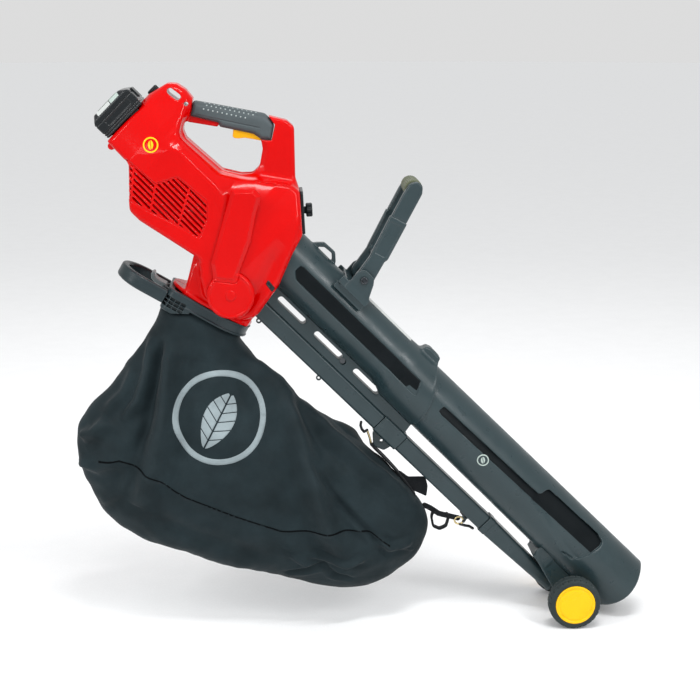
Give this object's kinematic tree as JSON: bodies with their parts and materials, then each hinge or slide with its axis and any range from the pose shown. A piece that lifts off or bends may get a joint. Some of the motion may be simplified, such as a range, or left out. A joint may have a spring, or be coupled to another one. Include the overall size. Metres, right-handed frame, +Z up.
{
  "type": "handheld garden blower vacuum",
  "caption": "Battery garden blower and vacuum with rear grip, tilting front handle, telescoped suction tube, slim blow tube, ground wheels and a hanging collection bag.",
  "frame": {"origin": "middle of the rear hand grip, on the machine's plane of symmetry", "axes": "+Z up and +X forwards, towards the tube's mouth, with the tubes 45 degrees below the horizontal as the machine is held; Y across it, with the left side at -Y"},
  "size_m": [0.9492, 0.194, 0.9001],
  "materials": {
    "casing_red": "glossy moulded plastic",
    "slate_plastic": "satin moulded plastic",
    "black_plastic": "fine textured moulded plastic",
    "soft_grip": "soft grip rubber with raised dots",
    "trigger_yellow": "glossy moulded plastic",
    "wheel_yellow": "glossy moulded plastic",
    "tyre": "rubber tread",
    "steel": "zinc plated steel",
    "motor_steel": "brushed can",
    "copper": "copper windings and laminations",
    "board_green": "solder mask",
    "bag_cloth": "woven polyester",
    "webbing": "woven webbing",
    "hook_brass": "plated spring wire",
    "label": "blank sticker"
  },
  "bodies": {
    "main": {"left_housing": "casing_red", "right_housing": "casing_red", "handle_grip": "soft_grip", "trigger_pin": "steel", "trigger_switch": "black_plastic", "battery_terminal": "black_plastic", "control_board": "board_green", "motor_case": "motor_steel", "motor_stator": "copper", "motor_bearings": "motor_steel", "motor_mount": "black_plastic", "volute": "black_plastic", "selector_washer": "black_plastic", "housing_screws": "steel", "tube_flange": "black_plastic", "upper_tube": "slate_plastic", "tube_web": "slate_plastic", "blow_tube_upper": "slate_plastic", "blow_sleeve": "slate_plastic", "blow_tube_lower": "slate_plastic", "blow_nozzle": "slate_plastic", "lower_tube": "slate_plastic", "tube_screws": "steel", "tube_label": "label", "handle_bracket": "slate_plastic", "handle_bolt": "steel", "wheel_bracket": "slate_plastic", "wheel_axle": "steel", "bag_ring": "black_plastic", "ring_handle": "black_plastic", "latch_pin": "steel", "strap_hooks": "hook_brass", "bag_straps": "webbing", "bag": "bag_cloth"},
    "battery": {"battery_pack": "black_plastic"},
    "battery_release": {"battery_button": "black_plastic"},
    "trigger": {"trigger": "trigger_yellow"},
    "dial": {"speed_dial": "black_plastic"},
    "rotor": {"motor_rotor": "motor_steel", "fan_wheel": "motor_steel", "fan_nut": "steel"},
    "selector": {"selector_lever": "casing_red", "selector_shaft": "steel", "selector_flap": "black_plastic"},
    "clamp_knob": {"star_knob": "black_plastic"},
    "front_handle": {"front_handle": "slate_plastic", "front_grip": "soft_grip"},
    "left_wheel": {"left_wheel": "wheel_yellow", "left_tyre": "tyre", "left_cap": "wheel_yellow"},
    "right_wheel": {"right_wheel": "wheel_yellow", "right_tyre": "tyre", "right_cap": "wheel_yellow"},
    "latch": {"bag_latch": "slate_plastic"}
  },
  "joints": [
    {"name": "battery_slide", "type": "slide", "parent": "main", "child": "battery", "axis": [-0.7071, 0, 0.7071], "range_m": [0, 0.05]},
    {"name": "battery_release_press", "type": "slide", "parent": "battery", "child": "battery_release", "axis": [-0.7071, 0, -0.7071], "range_m": [0, 0.002], "stiffness_N_per_m": 900},
    {"name": "trigger_press", "type": "hinge", "parent": "main", "child": "trigger", "pos_m": [0.01873, 0, -0.00807], "axis": [0, -1, 0], "range_deg": [0, 8], "stiffness_Nm_per_rad": 0.35},
    {"name": "dial_turn", "type": "hinge", "parent": "main", "child": "dial", "pos_m": [-0.10819, 0, 0.04031], "axis": [-0.7071, 0, 0.7071], "range_deg": [0, 270]},
    {"name": "rotor_spin", "type": "hinge", "parent": "main", "child": "rotor", "pos_m": [0.00424, 0, -0.15132], "axis": [0.7071, 0, -0.7071], "continuous": true},
    {"name": "selector_turn", "type": "hinge", "parent": "main", "child": "selector", "pos_m": [0.00707, 0, -0.27294], "axis": [0, 1, 0], "range_deg": [0, 50]},
    {"name": "clamp_knob_turn", "type": "hinge", "parent": "main", "child": "clamp_knob", "pos_m": [0.11986, 0, -0.14814], "axis": [0.9986, 0, 0.0523], "range_deg": [0, 270]},
    {"name": "front_handle_tilt", "type": "hinge", "parent": "main", "child": "front_handle", "pos_m": [0.2192, 0, -0.25456], "axis": [0, 1, 0], "range_deg": [-40, 30]},
    {"name": "left_wheel_spin", "type": "hinge", "parent": "main", "child": "left_wheel", "pos_m": [0.57134, -0.077, -0.80044], "axis": [0, 1, 0], "continuous": true},
    {"name": "right_wheel_spin", "type": "hinge", "parent": "main", "child": "right_wheel", "pos_m": [0.57134, 0.077, -0.80044], "axis": [0, 1, 0], "continuous": true},
    {"name": "latch_press", "type": "hinge", "parent": "main", "child": "latch", "pos_m": [-0.10158, 0, -0.27244], "axis": [0, -1, 0], "range_deg": [0, 10], "stiffness_Nm_per_rad": 0.5}
  ]
}
